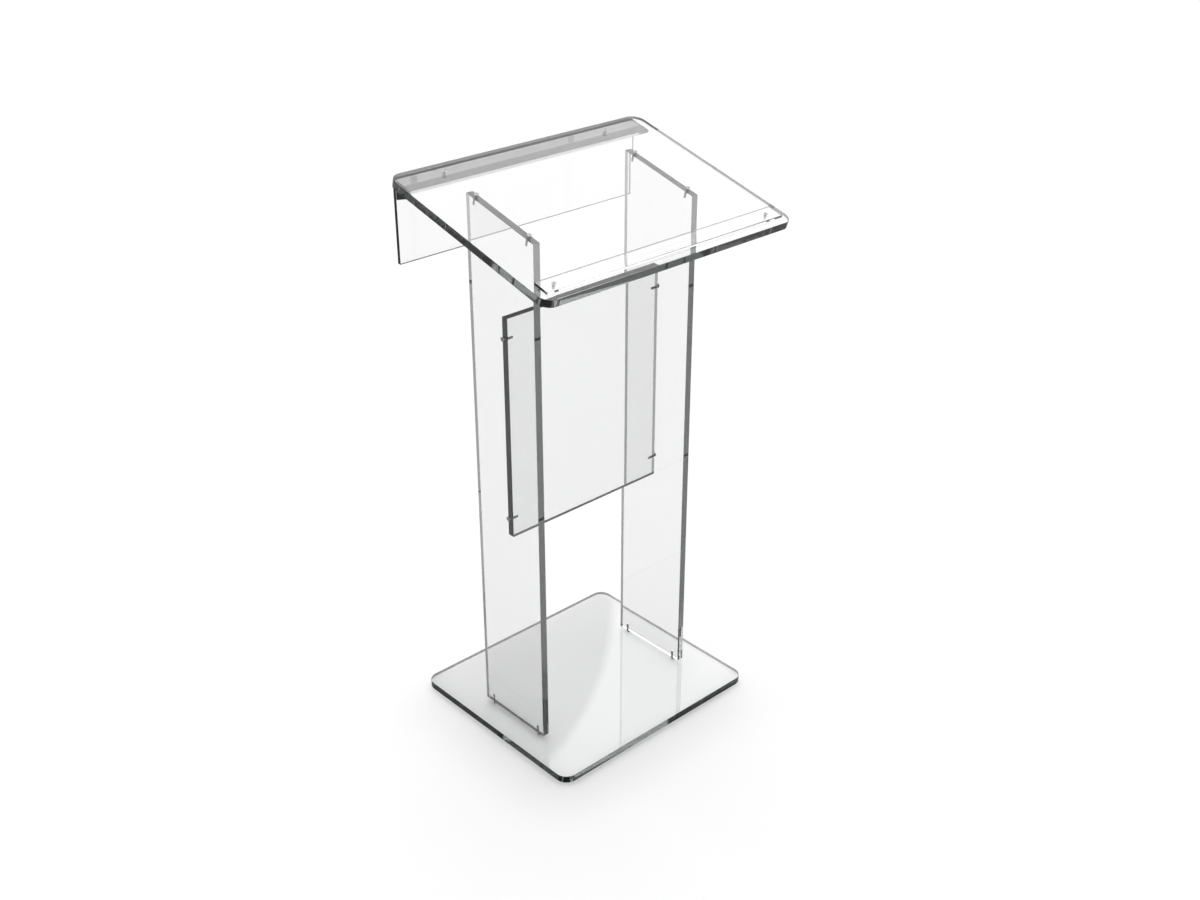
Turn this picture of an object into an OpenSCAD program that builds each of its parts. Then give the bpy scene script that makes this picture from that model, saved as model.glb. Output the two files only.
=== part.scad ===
// Presentation lectern in clear acrylic sheet: a base plate, two side panels held apart by a
// brace panel, a sloping reading top with a page stop, and a fascia panel under its far edge.
// The origin is on the floor under the middle of the base. The reader stands at -Y and
// faces +Y, and +X is at the reader's right hand.

/* [Sheets] */
// Thickness of the structural sheets
sheet_t = 15; // [12:1:20]
// Thickness of the fascia panel
fascia_t = 8; // [6:1:10]
// Thickness of the page stop
stop_t = 5; // [4:1:8]
// Corner radius of the base plate and the reading top
corner_r = 25; // [10:1:50]
// Gap left between two sheets that meet, and round each screw
gap = 0.1; // [0.05:0.05:0.2]

/* [Base plate] */
// Width of the base plate, left to right
base_w = 510; // [450:5:650]
// Depth of the base plate, front to back
base_d = 450; // [380:5:600]

/* [Side panels and brace] */
// Width across the outer faces of the two side panels
support_w = 400; // [320:5:430]
// Depth of each side panel, front to back
panel_d = 181; // [150:1:240]
// Distance of the panels' middle from the middle of the base, towards the reader
panel_shift = 4; // [0:1:20]
// Height of the brace panel's lower edge above the floor
brace_low = 446; // [200:1:600]
// Height of the brace panel
brace_h = 454; // [200:1:500]

/* [Reading top] */
// Width of the reading top, left to right
top_w = 603; // [520:1:700]
// Length of the reading top along its slope
top_l = 437; // [400:1:480]
// Slope of the reading top, in degrees
slope = 15; // [10:1:20]
// Height of the top's front edge above the floor
front_edge_h = 1030; // [1000:5:1150]
// Distance of the top's front edge from the middle of the base
front_edge_y = 247.5; // [220:0.5:260]

/* [Page stop] */
// Length of the page stop, left to right
stop_l = 570; // [500:1:590]
// Width of the page stop along the slope
stop_w = 34.5; // [30:0.5:45]
// Distance of the page stop from the top's front edge
stop_inset = 17; // [10:1:25]

/* [Fascia] */
// Width of the fascia panel and its fixing block, left to right
fascia_w = 577; // [500:1:600]
// Height of the fascia panel's front face
fascia_h = 150; // [100:1:250]
// Depth of the fixing block, front to back
block_d = 42; // [36:1:50]
// Height of the fixing block where it meets the fascia
block_h = 29; // [27:1:34]
// Height of the fixing block's front face
block_front_h = 5.5; // [4:0.5:8]

/* [Screws] */
// Diameter of the screw shanks
screw_d = 5; // [4:0.5:6]
// Diameter of the countersunk heads
head_d = 9; // [8:0.5:11]
// Length of the screws that join the sheets
screw_l = 28; // [26:1:30]
// Length of the page stop's screws
stop_screw_l = 22; // [18:1:22]
// Distance of each base and top screw from the side panel's edge
panel_screw_inset = 20; // [15:1:30]
// Distance of each brace screw from the brace's upper or lower edge
brace_screw_inset = 40; // [20:1:80]
// Distance of each fascia block screw from the middle of the lectern
block_screw_x = 195; // [100:1:250]
// Distance of each fascia block screw from the top's front edge, along the slope
block_screw_u = 412; // [411:0.5:413]
// Distance of each page stop screw from the middle of the lectern
stop_screw_x = 257; // [200:1:275]

/* [Hidden] */
$fn = 48;

sheet_colour = [0.80, 0.86, 0.88, 0.45];
screw_colour = [0.66, 0.67, 0.68];

// A screw's recess, and the holes that the screws go into
head_h = (head_d - screw_d) / 2;
socket_af = 3;
socket_h = 1.6;
clear_hole_d = screw_d + 0.5;
thread_hole_d = screw_d + 2 * gap;
hole_end = 1;
flush = 0.2;

// Side panels and brace
panel_front = -panel_shift - panel_d / 2;
panel_back = panel_front + panel_d;
panel_mid_x = (support_w - sheet_t) / 2;
brace_w = support_w - 2 * (sheet_t + gap);
brace_screw_z = [brace_low + brace_screw_inset, brace_low + brace_h - brace_screw_inset];

// The top's underside, front and back, and where the panels meet it along the slope
under_front_y = -front_edge_y + sheet_t * sin(slope);
under_front_z = front_edge_h - sheet_t * cos(slope);
under_back_y = under_front_y + top_l * cos(slope);
panel_screw_u = [
    (panel_front - under_front_y) / cos(slope) + panel_screw_inset,
    (panel_back - under_front_y) / cos(slope) - panel_screw_inset
];
stop_screw_u = stop_inset + stop_w / 2;

// The fascia hangs flush with the underside's back edge, and the block sits in front of it
fascia_front = under_back_y - fascia_t;
fascia_low = under_z(fascia_front) - gap - fascia_h;
block_back = fascia_front - gap;
block_front = block_back - block_d;

// Height of the top's underside at a distance y behind the middle of the base
function under_z(y) = under_front_z + (y - under_front_y) * tan(slope);

// ---- Frames -------------------------------------------------------------------------------

// x to the right, y up the slope from the top's front edge, z out of the reading surface
module on_slope() {
    translate([0, -front_edge_y, front_edge_h])
        rotate([slope, 0, 0])
            children();
}

// A screw's place: head outwards along +z
module at_base_screw(side, end) {
    translate([side * panel_mid_x, end > 0 ? panel_back - panel_screw_inset : panel_front + panel_screw_inset, flush])
        rotate([180, 0, 0])
            children();
}

module at_brace_screw(side, row) {
    translate([side * (support_w / 2 - flush), -panel_shift, brace_screw_z[row]])
        rotate([0, side * 90, 0])
            children();
}

module at_top_screw(side, row) {
    on_slope()
        translate([side * panel_mid_x, panel_screw_u[row], -flush])
            children();
}

module at_block_screw(side) {
    on_slope()
        translate([side * block_screw_x, block_screw_u, -flush])
            children();
}

module at_stop_screw(side) {
    on_slope()
        translate([side * stop_screw_x, stop_screw_u, stop_t + gap - flush])
            children();
}

// ---- Shapes -------------------------------------------------------------------------------

// A sheet with round corners, its front edge on the x axis and its lower face at z = 0
module round_sheet(w, d, t, r) {
    linear_extrude(t)
        union() {
            translate([-w / 2, r])
                square([w, d - 2 * r]);
            translate([-w / 2 + r, 0])
                square([w - 2 * r, d]);
            for (x = [-w / 2 + r, w / 2 - r], y = [r, d - r])
                translate([x, y])
                    circle(r);
        }
}

// A profile drawn in the y-z plane and extruded along x, centred on x = 0
module along_x(w) {
    translate([-w / 2, 0, 0])
        rotate([90, 0, 90])
            linear_extrude(w)
                children();
}

// Countersunk clearance hole through the sheet under a screw's head, down to a depth
module head_hole(depth) {
    translate([0, 0, -depth])
        cylinder(d = clear_hole_d, h = depth + 1);
    translate([0, 0, -head_h - gap])
        cylinder(d1 = screw_d, d2 = head_d + 2 * gap, h = head_h + gap);
    cylinder(d = head_d + 2 * gap, h = 2);
}

// Threaded hole from a depth to just past the screw's tip
module thread_hole(from, length) {
    translate([0, 0, -length - hole_end])
        cylinder(d = thread_hole_d, h = length + hole_end - from);
}

// Countersunk screw with a hexagonal socket, its flat head at z = 0 and its tip down
module screw(length) {
    color(screw_colour)
        difference() {
            union() {
                translate([0, 0, -head_h])
                    cylinder(d1 = screw_d, d2 = head_d, h = head_h);
                translate([0, 0, -length])
                    cylinder(d = screw_d, h = length - head_h);
            }
            translate([0, 0, -socket_h])
                cylinder(d = socket_af / cos(30), h = socket_h + 1, $fn = 6);
        }
}

// ---- Sheets -------------------------------------------------------------------------------

module base_plate() {
    color(sheet_colour)
        difference() {
            translate([0, -base_d / 2, 0])
                round_sheet(base_w, base_d, sheet_t, corner_r);
            for (side = [-1, 1], end = [-1, 1])
                at_base_screw(side, end)
                    head_hole(sheet_t + 1);
        }
}

// Upright panel on one side, cut to the slope at its top
module side_panel(side) {
    low = sheet_t + gap;
    color(sheet_colour)
        difference() {
            translate([side * panel_mid_x, 0, 0])
                along_x(sheet_t)
                    polygon([
                        [panel_front, low],
                        [panel_back, low],
                        [panel_back, under_z(panel_back) - gap],
                        [panel_front, under_z(panel_front) - gap]
                    ]);
            for (end = [-1, 1])
                at_base_screw(side, end)
                    thread_hole(sheet_t, screw_l);
            for (row = [0, 1]) {
                at_top_screw(side, row)
                    thread_hole(sheet_t - 1, screw_l);
                at_brace_screw(side, row)
                    head_hole(sheet_t + 1);
            }
        }
}

module brace_panel() {
    color(sheet_colour)
        difference() {
            translate([-brace_w / 2, -panel_shift - sheet_t / 2, brace_low])
                cube([brace_w, sheet_t, brace_h]);
            for (side = [-1, 1], row = [0, 1])
                at_brace_screw(side, row)
                    thread_hole(sheet_t - 1, screw_l);
        }
}

module reading_top() {
    color(sheet_colour)
        difference() {
            on_slope()
                translate([0, 0, -sheet_t])
                    round_sheet(top_w, top_l, sheet_t, corner_r);
            for (side = [-1, 1]) {
                for (row = [0, 1])
                    at_top_screw(side, row)
                        head_hole(sheet_t + 1);
                at_block_screw(side)
                    head_hole(sheet_t + 1);
                at_stop_screw(side)
                    thread_hole(stop_t - 1, stop_screw_l);
            }
        }
}

module page_stop() {
    color(sheet_colour)
        difference() {
            on_slope()
                translate([-stop_l / 2, stop_inset, gap])
                    cube([stop_l, stop_w, stop_t]);
            for (side = [-1, 1])
                at_stop_screw(side)
                    head_hole(stop_t + 1);
        }
}

// Upright panel under the top's far edge, its own top cut to the slope
module fascia_panel() {
    color(sheet_colour)
        along_x(fascia_w)
            polygon([
                [fascia_front, fascia_low],
                [under_back_y, fascia_low],
                [under_back_y, under_z(under_back_y) - gap],
                [fascia_front, under_z(fascia_front) - gap]
            ]);
}

// Wedge-shaped bar in the corner between the top and the fascia, which is bonded to its back
module fascia_block() {
    top_back = under_z(block_back) - gap;
    top_front = under_z(block_front) - gap;
    color(sheet_colour)
        difference() {
            along_x(fascia_w)
                polygon([
                    [block_front, top_front - block_front_h],
                    [block_back, top_back - block_h],
                    [block_back, top_back],
                    [block_front, top_front]
                ]);
            for (side = [-1, 1])
                at_block_screw(side)
                    thread_hole(sheet_t - 1, screw_l);
        }
}

// ---- Screws -------------------------------------------------------------------------------

// Up through the base plate into a side panel's lower edge
module base_screw(side, end) {
    at_base_screw(side, end)
        screw(screw_l);
}

// Through a side panel into the brace panel's end
module brace_screw(side, row) {
    at_brace_screw(side, row)
        screw(screw_l);
}

// Down through the reading top into a side panel's sloping upper edge
module top_screw(side, row) {
    at_top_screw(side, row)
        screw(screw_l);
}

// Down through the reading top into the fascia block
module block_screw(side) {
    at_block_screw(side)
        screw(screw_l);
}

// Down through the page stop and the reading top
module stop_screw(side) {
    at_stop_screw(side)
        screw(stop_screw_l);
}

// ---- Nodes --------------------------------------------------------------------------------

base_plate();
side_panel(-1);  // left_side_panel
side_panel(1);  // right_side_panel
brace_panel();
reading_top();
page_stop();
fascia_panel();
fascia_block();

base_screw(-1, -1);  // base_screw_left_front
base_screw(-1, 1);  // base_screw_left_back
base_screw(1, -1);  // base_screw_right_front
base_screw(1, 1);  // base_screw_right_back

brace_screw(-1, 0);  // brace_screw_left_lower
brace_screw(-1, 1);  // brace_screw_left_upper
brace_screw(1, 0);  // brace_screw_right_lower
brace_screw(1, 1);  // brace_screw_right_upper

top_screw(-1, 0);  // top_screw_left_front
top_screw(-1, 1);  // top_screw_left_back
top_screw(1, 0);  // top_screw_right_front
top_screw(1, 1);  // top_screw_right_back

block_screw(-1);  // block_screw_left
block_screw(1);  // block_screw_right

stop_screw(-1);  // stop_screw_left
stop_screw(1);  // stop_screw_right
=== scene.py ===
"""Presentation lectern in clear acrylic sheet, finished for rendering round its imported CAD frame.

The eight sheets are the CAD's own solids with softened arrises and a cast acrylic material. The
sixteen screws stand in for the CAD's plain ones, with a rolled thread and a hexagonal socket.
Sizes are in metres.
"""

import math

import bpy
from mathutils import Matrix, Vector


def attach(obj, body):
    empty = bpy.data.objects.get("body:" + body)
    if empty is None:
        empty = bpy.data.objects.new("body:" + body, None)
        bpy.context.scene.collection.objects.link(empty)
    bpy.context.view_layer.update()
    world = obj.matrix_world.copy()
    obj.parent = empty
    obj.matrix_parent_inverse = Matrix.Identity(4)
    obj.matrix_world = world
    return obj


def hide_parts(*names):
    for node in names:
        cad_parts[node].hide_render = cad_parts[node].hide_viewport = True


# Sheets
MERGE_DISTANCE = 0.000001
ARRIS_WIDTH = 0.0004
ARRIS_STEPS = 3
ARRIS_MIN_ANGLE = math.radians(60)
ARRIS_MIN_EDGE = 0.001
SMOOTH_ANGLE = math.radians(40)
ACRYLIC_IOR = 1.49
ABSORPTION_COLOUR = (0.0, 0.035, 0.03)
SMUDGE_ROUGHNESS = 0.006
EDGE_ROUGHNESS_LOW = 0.015
EDGE_ROUGHNESS_HIGH = 0.045
WAVE_HEIGHT = 0.00002
POLISH_LINE_HEIGHT = 0.0000015
EDGE_SHADE = 0.1

# Screws. EASE keeps each one just inside the CAD's screw.
EASE = 0.00002
HEAD_DEPTH = 0.002
FACE_INSET = 0.00025
RIM_WIDTH = 0.0001
RIM_DEPTH = 0.0002
NECK_FLARE = 0.0003
NECK_DROP = 0.0001
SOCKET_FLATS = 0.003
SOCKET_DEPTH = 0.0016
SOCKET_CHAMFER = 0.0003
SOCKET_ROUNDING = 0.0002
DRILL_POINT = 0.0001
SHANK_RADIUS = 0.0025
THREAD_PITCH = 0.0008
THREAD_DEPTH = 0.0004
THREAD_START = 0.001
THREAD_END = 0.0012
STEPS_PER_THREAD = 6
TIP_CHAMFER = 0.0008
TIP_ROUNDING = 0.00005
CAP_RADIUS = 0.0002
AROUND = 36
SCREW_SMOOTH_ANGLE = math.radians(35)
STEEL_DARK = (0.45, 0.45, 0.46, 1)
STEEL_LIGHT = (0.72, 0.72, 0.73, 1)
TURNING_PITCH = 0.00018
TURNING_HEIGHT = 0.000004

# Floor
FLOOR_RADIUS = 30.0
FLOOR_DROP = 0.0003
FLOOR_WHITE = 0.86
FLOOR_MOTTLE = 0.003
# Painted shade: the floor's grey wherever a polished face mirrors it
FLOOR_MIRRORED_PAINTED_SHADE = 0.34

# Light. A band's four angles, in degrees, are where it starts, is full, is still full and ends.
DOME_LEVEL = 0.65
KEY_LEVEL = 2.55
KEY_TOWARDS = (0.25, 0.35, 0.9)
KEY_POWER = 10.0
STRIP_LEVEL = 24.0
STRIP_TOWARDS = (0.67, 0.74, 0.0)
STRIP_HEIGHTS = (3, 5, 7, 12)
BACKDROP_LEVEL = 1.0
ROOM_LEVEL = 0.15
PANEL_LEVEL = 1.5
PANEL_HEADINGS = (30, 33, 90, 100)
PANEL_HEIGHTS = (30, 32, 58, 65)
GAP_TOWARDS = (0.454, 0.704, 0.546)
GAP_EDGE_OUTER = 0.988
GAP_EDGE_INNER = 0.989

# Camera, solved from the photo's straight edges
EYE = (-1.7271, -1.9268, 1.9217)
EYE_TILT_DOWN = 27.71
EYE_HEADING = 42.57
SENSOR_MM = 36
LENS_MM = 44.4
BOUNCES = 40

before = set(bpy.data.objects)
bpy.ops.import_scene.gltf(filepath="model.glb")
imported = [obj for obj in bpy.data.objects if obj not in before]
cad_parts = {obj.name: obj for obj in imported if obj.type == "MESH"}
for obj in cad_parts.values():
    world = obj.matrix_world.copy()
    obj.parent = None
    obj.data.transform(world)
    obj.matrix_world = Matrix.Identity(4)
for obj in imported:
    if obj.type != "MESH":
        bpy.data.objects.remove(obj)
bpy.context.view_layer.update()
screw_names = sorted(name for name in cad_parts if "screw" in name)
sheet_names = sorted(set(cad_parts) - set(screw_names))


# ---- Node helpers -----------------------------------------------------------------------------


class Tree:
    """A node tree with short calls for the nodes used here."""

    def __init__(self, tree):
        self.nodes = tree.nodes
        self.links = tree.links
        self.nodes.clear()

    def node(self, kind, inputs=None, **settings):
        made = self.nodes.new(kind)
        for name, value in settings.items():
            setattr(made, name, value)
        for key, value in (inputs or {}).items():
            self.put(made.inputs[key], value)
        return made

    def put(self, socket, value):
        if isinstance(value, bpy.types.NodeSocket):
            self.links.new(value, socket)
        elif value is not None:
            socket.default_value = value

    def maths(self, operation, a, b=None, c=None):
        return self.node("ShaderNodeMath", {0: a, 1: b, 2: c}, operation=operation).outputs[0]

    def vector(self, operation, a, b=None, result="Value"):
        return self.node("ShaderNodeVectorMath", {0: a, 1: b}, operation=operation).outputs[result]

    def noise(self, place, scale, detail):
        made = self.node("ShaderNodeTexNoise", {"Vector": place, "Scale": scale, "Detail": detail})
        return made.outputs["Fac"]

    def remap(self, value, low, high, out_low, out_high):
        inputs = {0: value, 1: low, 2: high, 3: out_low, 4: out_high}
        return self.node("ShaderNodeMapRange", inputs).outputs[0]

    def mix(self, part, low, high):
        return self.node("ShaderNodeMix", {0: part, 2: low, 3: high}).outputs[0]

    def grey(self, level):
        return self.node("ShaderNodeCombineColor", {i: level for i in range(3)}).outputs[0]

    def bump(self, height, distance, normal=None):
        inputs = {"Height": height, "Distance": distance, "Strength": 1.0, "Normal": normal}
        return self.node("ShaderNodeBump", inputs).outputs[0]


def new_material(name):
    material = bpy.data.materials.new(name)
    material.use_nodes = True
    return material, Tree(material.node_tree)


def new_modifier_tree(name):
    """A geometry node group with its geometry going in and out, and its helper."""
    group = bpy.data.node_groups.new(name, "GeometryNodeTree")
    for way in ("INPUT", "OUTPUT"):
        group.interface.new_socket("Geometry", in_out=way, socket_type="NodeSocketGeometry")
    return group, Tree(group)


# ---- Sheets -----------------------------------------------------------------------------------


def acrylic(name, face, shade, absorption):
    """Clear cast acrylic. face is the normal of the sheet's broad faces, shade is how much light
    each surface passes on to the floor, and absorption is per metre of path."""
    material, tree = new_material("acrylic_" + name)
    place = tree.node("ShaderNodeTexCoord").outputs["Object"]
    normal = tree.node("ShaderNodeNewGeometry").outputs["Normal"]
    facing = tree.maths("ABSOLUTE", tree.vector("DOT_PRODUCT", normal, face))
    edge = tree.remap(facing, 0.75, 0.35, 0.0, 1.0)

    # Faint handling smudges on the faces, and a slightly softer polish on the cut edges
    smudge_noise = tree.noise(place, scale=7.0, detail=5.0)
    smudge = tree.remap(smudge_noise, 0.45, 0.75, 0.0, SMUDGE_ROUGHNESS)
    polish_noise = tree.noise(place, scale=60.0, detail=3.0)
    polish = tree.remap(polish_noise, 0.3, 0.7, EDGE_ROUGHNESS_LOW, EDGE_ROUGHNESS_HIGH)

    # The slow waviness of a cast sheet, and the fine lines that polishing leaves along an edge
    waves = tree.bump(tree.noise(place, scale=9.0, detail=1.0), WAVE_HEIGHT)
    stretch = tuple(1.0 if abs(part) > 0.5 else 0.03 for part in face)
    stretched = tree.vector("MULTIPLY", place, stretch, "Vector")
    lines = tree.noise(stretched, scale=900.0, detail=1.0)
    surface = tree.bump(tree.maths("MULTIPLY", lines, edge), POLISH_LINE_HEIGHT, waves)

    glass = tree.node("ShaderNodeBsdfPrincipled", {
        "Base Color": (1, 1, 1, 1),
        "Roughness": tree.mix(edge, smudge, polish),
        "IOR": ACRYLIC_IOR,
        "Transmission Weight": 1.0,
        "Normal": surface,
    })
    # Lamps and the floor see each other through the faces, but hardly through the cut edges on
    # the reader's side, so that the sheets throw a pale soft shadow forwards
    behind = tree.vector("DOT_PRODUCT", place, STRIP_TOWARDS)
    reader_side = tree.remap(behind, -0.05, 0.05, 1.0, 0.0)
    light = tree.remap(tree.maths("MULTIPLY", edge, reader_side), 0.0, 1.0, shade, EDGE_SHADE)
    passed = tree.node("ShaderNodeBsdfTransparent", {"Color": tree.grey(light)})
    path = tree.node("ShaderNodeLightPath").outputs
    lighting = tree.maths("MAXIMUM", path["Is Shadow Ray"], path["Is Diffuse Ray"])
    mixed = tree.node("ShaderNodeMixShader", {
        0: lighting,
        1: glass.outputs[0],
        2: passed.outputs[0],
    })
    body = tree.node("ShaderNodeVolumeAbsorption", {
        "Color": (*ABSORPTION_COLOUR, 1),
        "Density": absorption,
    })
    tree.node("ShaderNodeOutputMaterial", {"Surface": mixed.outputs[0], "Volume": body.outputs[0]})
    return material


def arris_nodes():
    """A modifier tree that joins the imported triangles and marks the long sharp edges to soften."""
    group, tree = new_modifier_tree("mark_arrises")
    start = tree.node("NodeGroupInput").outputs[0]
    plain = tree.node("GeometryNodeRemoveAttribute", {"Geometry": start, "Name": "custom_normal"})
    merged = tree.node("GeometryNodeMergeByDistance", {
        "Geometry": plain.outputs[0],
        "Distance": MERGE_DISTANCE,
    })
    angle = tree.node("GeometryNodeInputMeshEdgeAngle").outputs["Unsigned Angle"]
    sharp = tree.node("FunctionNodeCompare", {"A": angle, "B": ARRIS_MIN_ANGLE})
    ends = tree.node("GeometryNodeInputMeshEdgeVertices").outputs
    length = tree.vector("DISTANCE", ends["Position 1"], ends["Position 2"])
    long_enough = tree.node("FunctionNodeCompare", {"A": length, "B": ARRIS_MIN_EDGE})
    both = tree.node("FunctionNodeBooleanMath", {0: sharp.outputs[0], 1: long_enough.outputs[0]})
    marked = tree.node("GeometryNodeStoreNamedAttribute", {
        "Geometry": merged.outputs[0],
        "Selection": both.outputs[0],
        "Name": "bevel_weight_edge",
        "Value": 1.0,
    }, data_type="FLOAT", domain="EDGE")
    tree.node("NodeGroupOutput", {0: marked.outputs[0]})
    return group


def smoothing_nodes():
    """A modifier tree that shades the mesh smooth, with edges above an angle kept sharp."""
    group, tree = new_modifier_tree("smooth_by_angle")
    start = tree.node("NodeGroupInput").outputs[0]
    faces = tree.node("GeometryNodeSetShadeSmooth", {"Geometry": start})
    angle = tree.node("GeometryNodeInputMeshEdgeAngle").outputs["Unsigned Angle"]
    flat_enough = tree.node("FunctionNodeCompare", {
        "A": angle,
        "B": SMOOTH_ANGLE,
    }, operation="LESS_EQUAL")
    edges = tree.node("GeometryNodeSetShadeSmooth", {
        "Geometry": faces.outputs[0],
        "Shade Smooth": flat_enough.outputs[0],
    }, domain="EDGE")
    tree.node("NodeGroupOutput", {0: edges.outputs[0]})
    return group


def finish_sheet(sheet, material, marking, smoothing):
    """Softens a CAD sheet's arrises with modifiers and gives it its material."""
    sheet.modifiers.new("mark_arrises", "NODES").node_group = marking
    bevel = sheet.modifiers.new("soften_arrises", "BEVEL")
    bevel.width = ARRIS_WIDTH
    bevel.segments = ARRIS_STEPS
    bevel.limit_method = "WEIGHT"
    bevel.use_clamp_overlap = False
    sheet.modifiers.new("smooth_by_angle", "NODES").node_group = smoothing
    shading = sheet.modifiers.new("flat_faces", "WEIGHTED_NORMAL")
    shading.keep_sharp = True
    for slot in sheet.material_slots:
        slot.link = "OBJECT"
        slot.material = material


def top_normal():
    """The reading top's outward normal, from the tilt of its largest faces."""
    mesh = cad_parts["reading_top"].data
    largest = max((p for p in mesh.polygons if p.normal.z > 0.5), key=lambda p: p.area)
    return largest.normal.copy()


def finish_sheets():
    slanted = tuple(top_normal())
    # The normal of each sheet's broad faces, the light each surface passes, and the absorption
    sheets = {
        "base_plate": ((0, 0, 1), 1.0, 3.0),
        "left_side_panel": ((1, 0, 0), 0.97, 4.0),
        "right_side_panel": ((1, 0, 0), 0.97, 4.0),
        "brace_panel": ((0, 1, 0), 0.97, 6.0),
        "fascia_panel": ((0, 1, 0), 0.97, 3.5),
        "fascia_block": ((0, 1, 0), 0.95, 7.0),
        "reading_top": (slanted, 0.98, 2.5),
        "page_stop": (slanted, 0.95, 4.0),
    }
    marking = arris_nodes()
    smoothing = smoothing_nodes()
    for name in sheet_names:
        finish_sheet(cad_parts[name], acrylic(name, *sheets[name]), marking, smoothing)


# ---- Screws -----------------------------------------------------------------------------------


def screw_steel():
    """Plain stainless steel with turning marks round the head and a dull thread."""
    material, tree = new_material("screw_steel_turned")
    place = tree.node("ShaderNodeTexCoord").outputs["Object"]
    radius = tree.vector("LENGTH", tree.vector("MULTIPLY", place, (1, 1, 0), "Vector"))
    rings = tree.maths("SINE", tree.maths("MULTIPLY", radius, 2 * math.pi / TURNING_PITCH))
    grain = tree.noise(place, scale=2500.0, detail=3.0)
    blotch = tree.noise(place, scale=500.0, detail=2.0)
    colour = tree.node("ShaderNodeMix", {
        0: blotch,
        6: STEEL_DARK,
        7: STEEL_LIGHT,
    }, data_type="RGBA").outputs[2]
    height = tree.maths("MULTIPLY_ADD", rings, 0.5, grain)
    steel = tree.node("ShaderNodeBsdfPrincipled", {
        "Base Color": colour,
        "Metallic": 1.0,
        "Roughness": tree.remap(grain, 0.3, 0.7, 0.2, 0.38),
        "Normal": tree.bump(height, TURNING_HEIGHT),
    })
    tree.node("ShaderNodeOutputMaterial", {"Surface": steel.outputs[0]})
    return material


def ring(radius_at, z):
    """One loop of points round the screw's axis."""
    made = []
    for i in range(AROUND):
        turn = 2 * math.pi * i / AROUND
        radius = radius_at(turn)
        made.append((radius * math.cos(turn), radius * math.sin(turn), z))
    return made


def round_ring(radius, z):
    return ring(lambda turn: radius, z)


def hexagon_ring(across_flats, z):
    def radius_at(turn):
        return across_flats / 2 / math.cos((turn + math.pi / 6) % (math.pi / 3) - math.pi / 6)

    return ring(radius_at, z)


def socket_rings():
    """From the middle of the socket's drilled floor up its six walls to its chamfered mouth."""
    return [
        round_ring(CAP_RADIUS, -SOCKET_DEPTH - DRILL_POINT),
        hexagon_ring(SOCKET_FLATS - SOCKET_CHAMFER, -SOCKET_DEPTH + EASE),
        hexagon_ring(SOCKET_FLATS, -SOCKET_DEPTH + SOCKET_ROUNDING),
        hexagon_ring(SOCKET_FLATS, -SOCKET_ROUNDING),
        hexagon_ring(SOCKET_FLATS + SOCKET_CHAMFER, 0.0),
    ]


def head_rings(core):
    """From the edge of the head's flat face, over its rim and cone, to the end of a plain neck."""
    head = SHANK_RADIUS + HEAD_DEPTH
    return [
        round_ring(head - FACE_INSET, 0.0),
        round_ring(head - RIM_WIDTH, -EASE),
        round_ring(head - 2 * RIM_WIDTH, -RIM_DEPTH - EASE),
        round_ring(SHANK_RADIUS + NECK_FLARE, -HEAD_DEPTH + NECK_FLARE + EASE),
        round_ring(core, -HEAD_DEPTH - NECK_DROP),
        round_ring(core, -HEAD_DEPTH - THREAD_START + 2 * NECK_DROP),
    ]


def thread_rings(core, first, last):
    """The rolled thread, which fades in and out over one pitch at each end."""
    step = THREAD_PITCH / STEPS_PER_THREAD
    loops = []
    for k in range(int((first - last) / step)):
        z = first - k * step
        fade = max(0.0, min(1.0, (first - z) / THREAD_PITCH, (z - last) / THREAD_PITCH))

        def radius_at(turn):
            phase = (z / THREAD_PITCH + turn / (2 * math.pi)) % 1.0
            cut = min(1.0, max(0.0, 1.6 * abs(2 * phase - 1) - 0.2))
            return core - THREAD_DEPTH * cut * fade

        loops.append(ring(radius_at, z))
    return loops


def screw_rings(length):
    """The screw's loops from the socket's floor, out over the head and down to the tip."""
    core = SHANK_RADIUS - EASE
    first = -HEAD_DEPTH - THREAD_START
    last = -length + THREAD_END
    tip = [
        round_ring(core, last),
        round_ring(SHANK_RADIUS - TIP_CHAMFER, -length + TIP_ROUNDING),
        round_ring(CAP_RADIUS, -length),
    ]
    return socket_rings() + head_rings(core) + thread_rings(core, first, last) + tip


def screw_mesh(name, length, material):
    loops = screw_rings(length)
    points = [point for loop in loops for point in loop]
    quads = []
    for above in range(0, len(points) - AROUND, AROUND):
        below = above + AROUND
        for i in range(AROUND):
            j = (i + 1) % AROUND
            quads.append((above + i, below + i, below + j, above + j))
    first_cap = tuple(range(AROUND))
    last_cap = tuple(reversed(range(len(points) - AROUND, len(points))))
    mesh = bpy.data.meshes.new(name)
    mesh.from_pydata(points, [], quads + [first_cap, last_cap])
    mesh.validate()
    mesh.materials.append(material)
    for polygon in mesh.polygons:
        polygon.use_smooth = True
    mesh.set_sharp_from_angle(angle=SCREW_SMOOTH_ANGLE)
    return mesh


def screw_axis(node):
    """Which way a CAD screw's head faces."""
    if node.startswith("base"):
        return Vector((0, 0, -1))
    if node.startswith("brace"):
        return Vector((-1 if "left" in node else 1, 0, 0))
    return top_normal()


def screw_place(node):
    """A CAD screw's length, and a matrix with its head's face at the origin and its tip down -Z."""
    points = [vertex.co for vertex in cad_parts[node].data.vertices]
    axis = screw_axis(node)
    heights = [point.dot(axis) for point in points]
    across = Vector((1, 0, 0)) if abs(axis.x) < 0.5 else Vector((0, 1, 0))
    side = axis.cross(across)
    head = axis * max(heights)
    for way in (across, side):
        reach = [point.dot(way) for point in points]
        head += way * (min(reach) + max(reach)) / 2
    turned = Matrix((across, side, axis)).transposed().to_4x4()
    return max(heights) - min(heights), Matrix.Translation(head) @ turned


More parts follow.
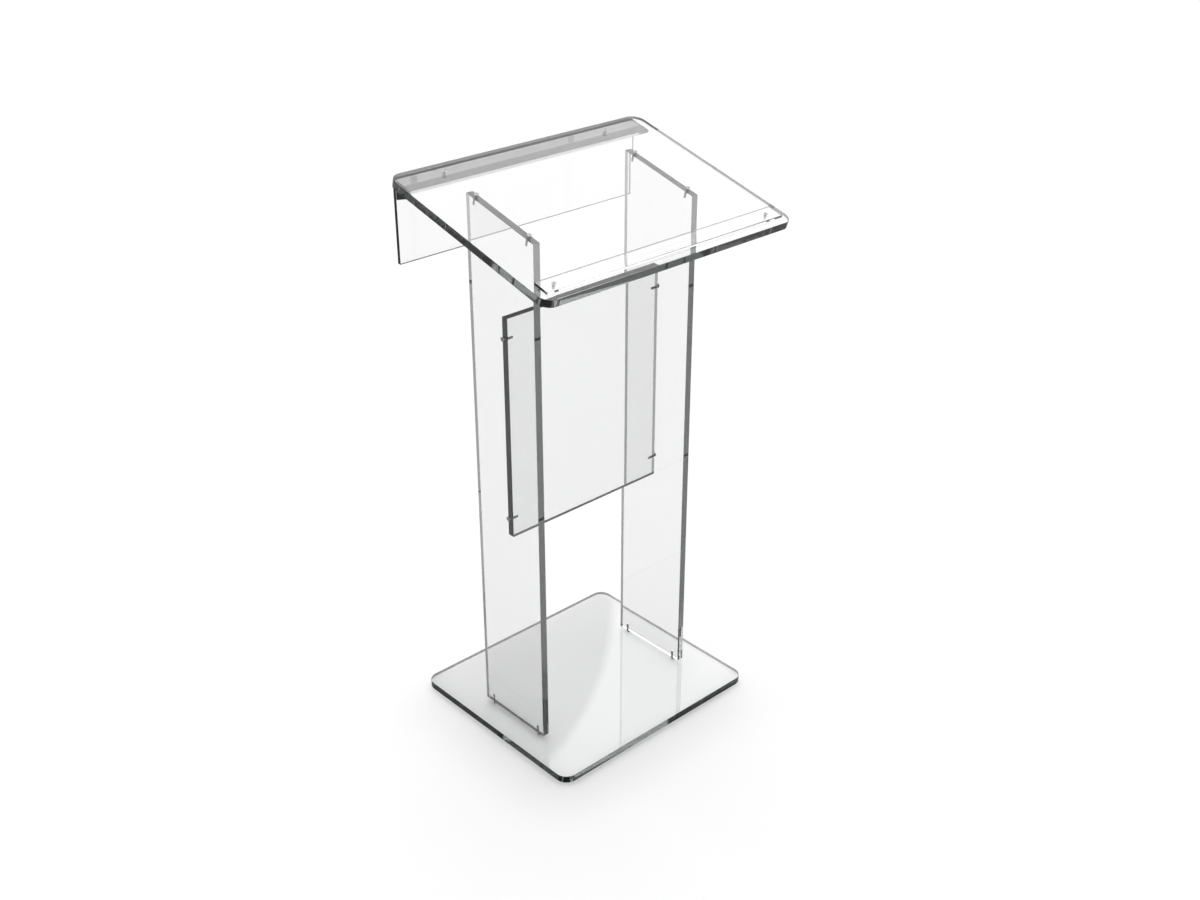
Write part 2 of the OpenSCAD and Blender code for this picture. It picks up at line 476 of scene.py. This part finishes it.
def build_screws():
    """A threaded screw in place of each plain one. Screws of one length share a mesh."""
    steel = screw_steel()
    meshes = {}
    for name in screw_names:
        exact_length, place = screw_place(name)
        length = round(exact_length, 4)
        if length not in meshes:
            meshes[length] = screw_mesh(f"screw_{round(length * 1000)}_mm", length, steel)
        screw = bpy.data.objects.new(name + "_threaded", meshes[length])
        bpy.context.scene.collection.objects.link(screw)
        screw.matrix_world = place
        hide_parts(name)
        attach(screw, "root")


# ---- Studio -----------------------------------------------------------------------------------


def studio_floor():
    """A wide matt white floor just under the base, with painted shade: greyer where a polished face
    mirrors it.
    """
    bpy.ops.mesh.primitive_circle_add(vertices=128, radius=FLOOR_RADIUS, fill_type="NGON")
    floor = bpy.context.object
    floor.name = "studio_floor"
    floor.location.z = -FLOOR_DROP
    material, tree = new_material("studio_floor_paint")
    # Painted shade: the floor is painted greyer wherever it is seen in a polished face's reflection,
    # so that the sheets' edges look dark
    mirrored = tree.maths("MINIMUM", tree.node("ShaderNodeLightPath").outputs["Glossy Depth"], 1.0)
    place = tree.node("ShaderNodeTexCoord").outputs["Object"]
    mottle = tree.noise(place, scale=3.0, detail=3.0)
    white = tree.remap(mottle, 0.2, 0.8, FLOOR_WHITE - FLOOR_MOTTLE, FLOOR_WHITE + FLOOR_MOTTLE)
    colour = tree.grey(tree.mix(mirrored, white, FLOOR_MIRRORED_PAINTED_SHADE))
    paint = tree.node("ShaderNodeBsdfDiffuse", {"Color": colour})
    tree.node("ShaderNodeOutputMaterial", {"Surface": paint.outputs[0]})
    floor.data.materials.append(material)


def band(tree, value, degrees):
    """1 between the middle two angles, falling to 0 at the outer two."""
    start, full, still_full, end = (math.radians(angle) for angle in degrees)
    rise = tree.remap(value, start, full, 0.0, 1.0)
    fall = tree.remap(value, still_full, end, 1.0, 0.0)
    return tree.maths("MULTIPLY", rise, fall)


def lamp_light(tree, way, height):
    """What lights the floor: a soft dome, a broad key high at the back, and a low strip behind."""
    key = tree.vector("DOT_PRODUCT", way, Vector(KEY_TOWARDS).normalized())
    key = tree.maths("POWER", tree.maths("MAXIMUM", key, 0.0), KEY_POWER)
    dome = tree.maths("MULTIPLY_ADD", key, KEY_LEVEL, DOME_LEVEL)
    behind = tree.maths("MAXIMUM", tree.vector("DOT_PRODUCT", way, STRIP_TOWARDS), 0.0)
    strip = tree.maths("MULTIPLY", behind, band(tree, height, STRIP_HEIGHTS))
    return tree.maths("MULTIPLY_ADD", strip, STRIP_LEVEL, dome)


def mirrored_room(tree, way, heading, height):
    """What polished faces mirror: a dim room with one large bright panel that has a round gap."""
    panel = tree.maths(
        "MULTIPLY",
        band(tree, heading, PANEL_HEADINGS),
        band(tree, height, PANEL_HEIGHTS),
    )
    towards_gap = tree.vector("DOT_PRODUCT", way, GAP_TOWARDS)
    outside_gap = tree.remap(towards_gap, GAP_EDGE_OUTER, GAP_EDGE_INNER, 1.0, 0.0)
    panel = tree.maths("MULTIPLY", panel, outside_gap)
    return tree.maths("MULTIPLY_ADD", panel, PANEL_LEVEL - ROOM_LEVEL, ROOM_LEVEL)


def studio_light():
    """The lamps light everything, the camera sees a pale backdrop past the floor's edge, and
    polished faces mirror a dim room."""
    world = bpy.data.worlds.new("studio")
    world.use_nodes = True
    bpy.context.scene.world = world
    tree = Tree(world.node_tree)
    way = tree.node("ShaderNodeTexCoord").outputs["Generated"]
    parts = tree.node("ShaderNodeSeparateXYZ", {0: way}).outputs
    heading = tree.maths("ARCTAN2", parts[0], parts[1])
    height = tree.maths("ARCSINE", parts[2])
    lamps = lamp_light(tree, way, height)
    room = mirrored_room(tree, way, heading, height)

    path = tree.node("ShaderNodeLightPath").outputs
    mirrored = tree.maths("MINIMUM", path["Glossy Depth"], 1.0)
    seen = tree.maths("MAXIMUM", path["Is Camera Ray"], path["Is Transmission Ray"])
    seen = tree.maths("MAXIMUM", seen, path["Is Glossy Ray"])
    view = tree.mix(mirrored, BACKDROP_LEVEL, room)
    colour = tree.grey(tree.mix(seen, lamps, view))
    light = tree.node("ShaderNodeBackground", {"Color": colour})
    tree.node("ShaderNodeOutputWorld", {"Surface": light.outputs[0]})


def camera():
    """The photo's camera, over the reader's left shoulder."""
    data = bpy.data.cameras.new("camera")
    data.sensor_width = SENSOR_MM
    data.lens = LENS_MM
    eye = bpy.data.objects.new("camera", data)
    eye.location = EYE
    eye.rotation_euler = (math.radians(90 - EYE_TILT_DOWN), 0.0, math.radians(-EYE_HEADING))
    bpy.context.scene.collection.objects.link(eye)
    bpy.context.scene.camera = eye


def render_look():
    """Plain colours, and bounces enough for a path through many clear sheets."""
    scene = bpy.context.scene
    scene.view_settings.view_transform = "Standard"
    scene.cycles.max_bounces = BOUNCES
    scene.cycles.transmission_bounces = BOUNCES
    scene.cycles.glossy_bounces = BOUNCES
    scene.cycles.transparent_max_bounces = BOUNCES
    scene.cycles.blur_glossy = 0.0


finish_sheets()
build_screws()
studio_floor()
studio_light()
camera()
render_look()
